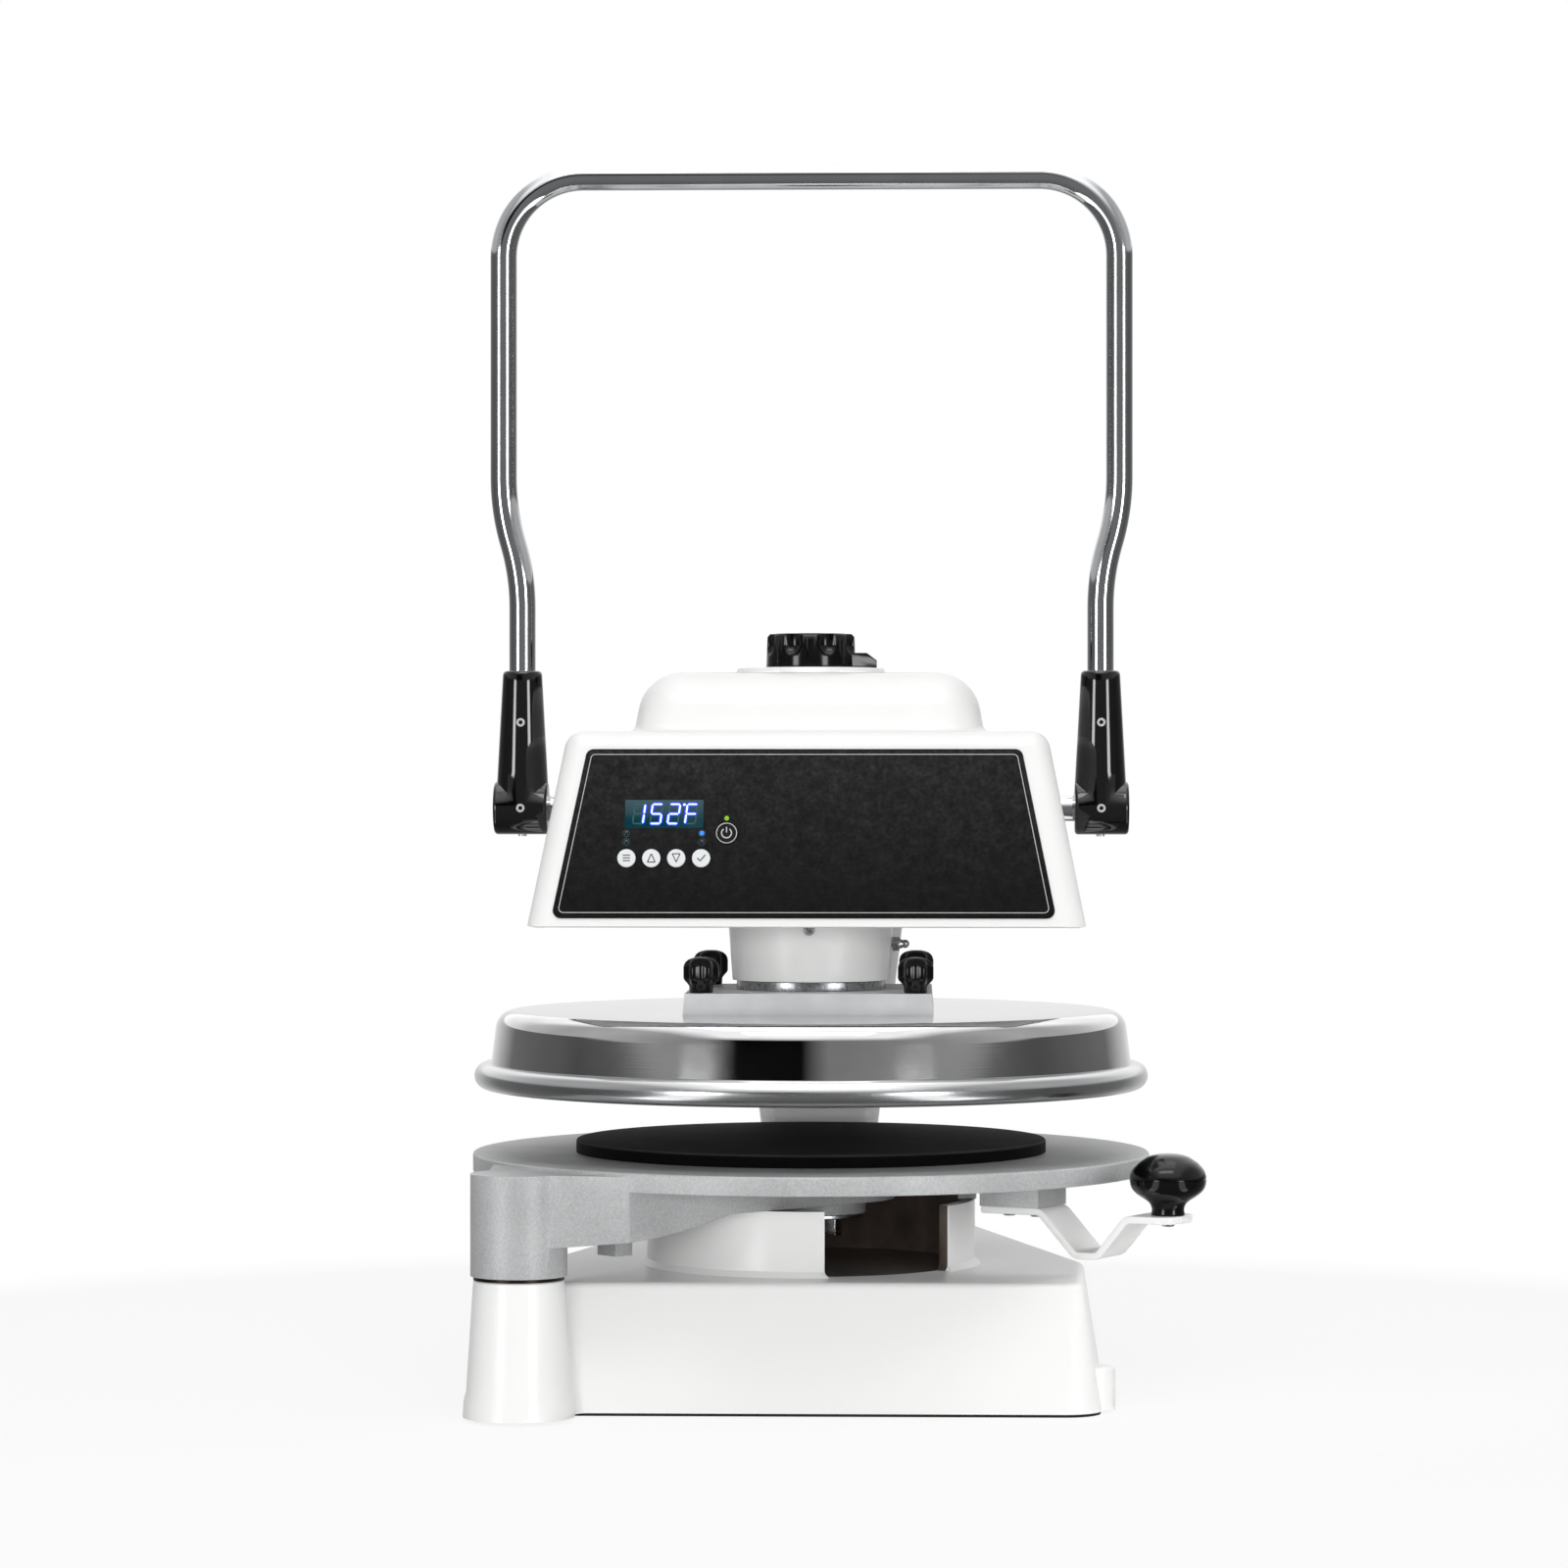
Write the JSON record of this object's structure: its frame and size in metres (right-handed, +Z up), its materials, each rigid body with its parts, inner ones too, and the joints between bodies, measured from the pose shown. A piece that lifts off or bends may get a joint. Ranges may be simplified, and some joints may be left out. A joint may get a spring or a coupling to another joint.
{
  "type": "pizza dough press",
  "caption": "Manual heated dough press: white cast frame, hand lever that drives a round heated upper platen down, and a lower platen that swings out on a pivot post.",
  "frame": {"origin": "on the table, straight below the press axis", "axes": "+Z up along the ram, -Y towards the operator, +X to the operator's right"},
  "size_m": [0.5161, 0.605, 0.8746],
  "materials": {
    "white_paint": "smooth white powder coat",
    "foot_rubber": "moulded black rubber",
    "bronze": "turned bearing bronze",
    "steel": "machined and plated steel",
    "iron": "machined grey casting",
    "chrome_bar": "bright chrome plate",
    "cast_aluminium": "bead-blasted casting",
    "satin_aluminium": "satin turned",
    "polished_stainless": "polished sheet",
    "black_enamel": "gloss black enamel",
    "black_phenolic": "gloss moulded phenolic",
    "panel_film": "printed film with a mottled ground",
    "display_lens": "tinted window",
    "lamp_lens": "moulded light pipe",
    "button_white": "moulded white",
    "button_dark": "moulded dark grey",
    "board": "coated circuit board",
    "mat": "matt black silicone"
  },
  "bodies": {
    "frame": {"base_casting": "white_paint", "pedestal": "white_paint", "foot_strip": "foot_rubber", "column_casting": "white_paint", "column_bolts": "steel", "guide_bush": "bronze", "bearing_frame": "iron", "shaft_bushes": "bronze", "head_cover": "white_paint", "cover_screws": "steel", "front_panel": "panel_film", "display_window": "display_lens", "indicator_lenses": "lamp_lens", "control_board": "board", "thickness_bush": "bronze", "grease_nipple": "steel", "neck_screw": "steel", "pivot_pin": "steel", "thrust_washer": "bronze", "cable_gland": "black_phenolic"},
    "handle": {"handle_shaft": "steel", "handle_bar": "chrome_bar", "left_socket": "black_enamel", "right_socket": "black_enamel", "socket_screws": "black_enamel", "cam": "steel", "cam_key": "steel", "shaft_collars": "steel"},
    "ram": {"ram": "steel", "roller_pin": "steel", "adapter_plate": "cast_aluminium", "flange_screws": "steel", "heated_platen": "satin_aluminium", "platen_cover": "polished_stainless", "heater_ring": "steel", "clamp_studs": "steel", "clamp_sleeves": "steel", "return_springs": "steel"},
    "roller": {"roller": "steel"},
    "thickness": {"thickness_knob": "black_phenolic", "thickness_spindle": "steel"},
    "stop": {"stop_bar": "steel"},
    "swing": {"lower_platen": "cast_aluminium", "hub_bush": "bronze", "press_mat": "mat", "grip_strap": "white_paint", "strap_screws": "steel", "grip_knob": "black_phenolic", "boss_plate": "steel", "boss_bolts": "steel"},
    "clamp_front_left": {"clamp_knob_front_left": "black_phenolic"},
    "clamp_front_right": {"clamp_knob_front_right": "black_phenolic"},
    "clamp_rear_left": {"clamp_knob_rear_left": "black_phenolic"},
    "clamp_rear_right": {"clamp_knob_rear_right": "black_phenolic"},
    "power_key": {"power_button": "button_dark"},
    "mode_key": {"mode_button": "button_white"},
    "up_key": {"up_button": "button_white"},
    "down_key": {"down_button": "button_white"},
    "set_key": {"set_button": "button_white"}
  },
  "joints": [
    {"name": "handle_pull", "type": "hinge", "parent": "frame", "child": "handle", "pos_m": [0, 0, 0.4141], "axis": [1, 0, 0], "range_deg": [0, 100]},
    {"name": "ram_slide", "type": "slide", "parent": "frame", "child": "ram", "axis": [0, 0, -1], "range_m": [0, 0.033], "stiffness_N_per_m": 5000, "springref_m": -0.06, "deforming": ["return_springs"]},
    {"name": "roller_spin", "type": "hinge", "parent": "ram", "child": "roller", "pos_m": [0, 0, 0.3861], "axis": [1, 0, 0], "continuous": true},
    {"name": "thickness_turn", "type": "hinge", "parent": "frame", "child": "thickness", "pos_m": [0, 0, 0.526], "axis": [0, 0, 1], "range_deg": [-150, 150]},
    {"name": "stop_slide", "type": "slide", "parent": "frame", "child": "stop", "axis": [0, 0, 1], "range_m": [-0.00125, 0.00125]},
    {"name": "swing_out", "type": "hinge", "parent": "frame", "child": "swing", "pos_m": [-0.194, -0.18, 0.13], "axis": [0, 0, -1], "range_deg": [0, 95]},
    {"name": "clamp_front_left_turn", "type": "hinge", "parent": "ram", "child": "clamp_front_left", "pos_m": [-0.075, -0.075, 0.297], "axis": [0, 0, 1], "continuous": true},
    {"name": "clamp_front_right_turn", "type": "hinge", "parent": "ram", "child": "clamp_front_right", "pos_m": [0.075, -0.075, 0.297], "axis": [0, 0, 1], "continuous": true},
    {"name": "clamp_rear_left_turn", "type": "hinge", "parent": "ram", "child": "clamp_rear_left", "pos_m": [-0.075, 0.075, 0.297], "axis": [0, 0, 1], "continuous": true},
    {"name": "clamp_rear_right_turn", "type": "hinge", "parent": "ram", "child": "clamp_rear_right", "pos_m": [0.075, 0.075, 0.297], "axis": [0, 0, 1], "continuous": true},
    {"name": "power_press", "type": "slide", "parent": "frame", "child": "power_key", "axis": [0, 0.9781, -0.2079], "range_m": [0, 0.0006], "stiffness_N_per_m": 1500, "springref_m": -0.0008},
    {"name": "mode_press", "type": "slide", "parent": "frame", "child": "mode_key", "axis": [0, 0.9781, -0.2079], "range_m": [0, 0.0006], "stiffness_N_per_m": 1500, "springref_m": -0.0008},
    {"name": "up_press", "type": "slide", "parent": "frame", "child": "up_key", "axis": [0, 0.9781, -0.2079], "range_m": [0, 0.0006], "stiffness_N_per_m": 1500, "springref_m": -0.0008},
    {"name": "down_press", "type": "slide", "parent": "frame", "child": "down_key", "axis": [0, 0.9781, -0.2079], "range_m": [0, 0.0006], "stiffness_N_per_m": 1500, "springref_m": -0.0008},
    {"name": "set_press", "type": "slide", "parent": "frame", "child": "set_key", "axis": [0, 0.9781, -0.2079], "range_m": [0, 0.0006], "stiffness_N_per_m": 1500, "springref_m": -0.0008}
  ],
  "couplings": [
    {"joint": "ram_slide", "follows": "handle_pull", "m_per_rad": 0.018907},
    {"joint": "thickness_turn", "follows": "stop_slide", "rad_per_m": 2094.4}
  ]
}
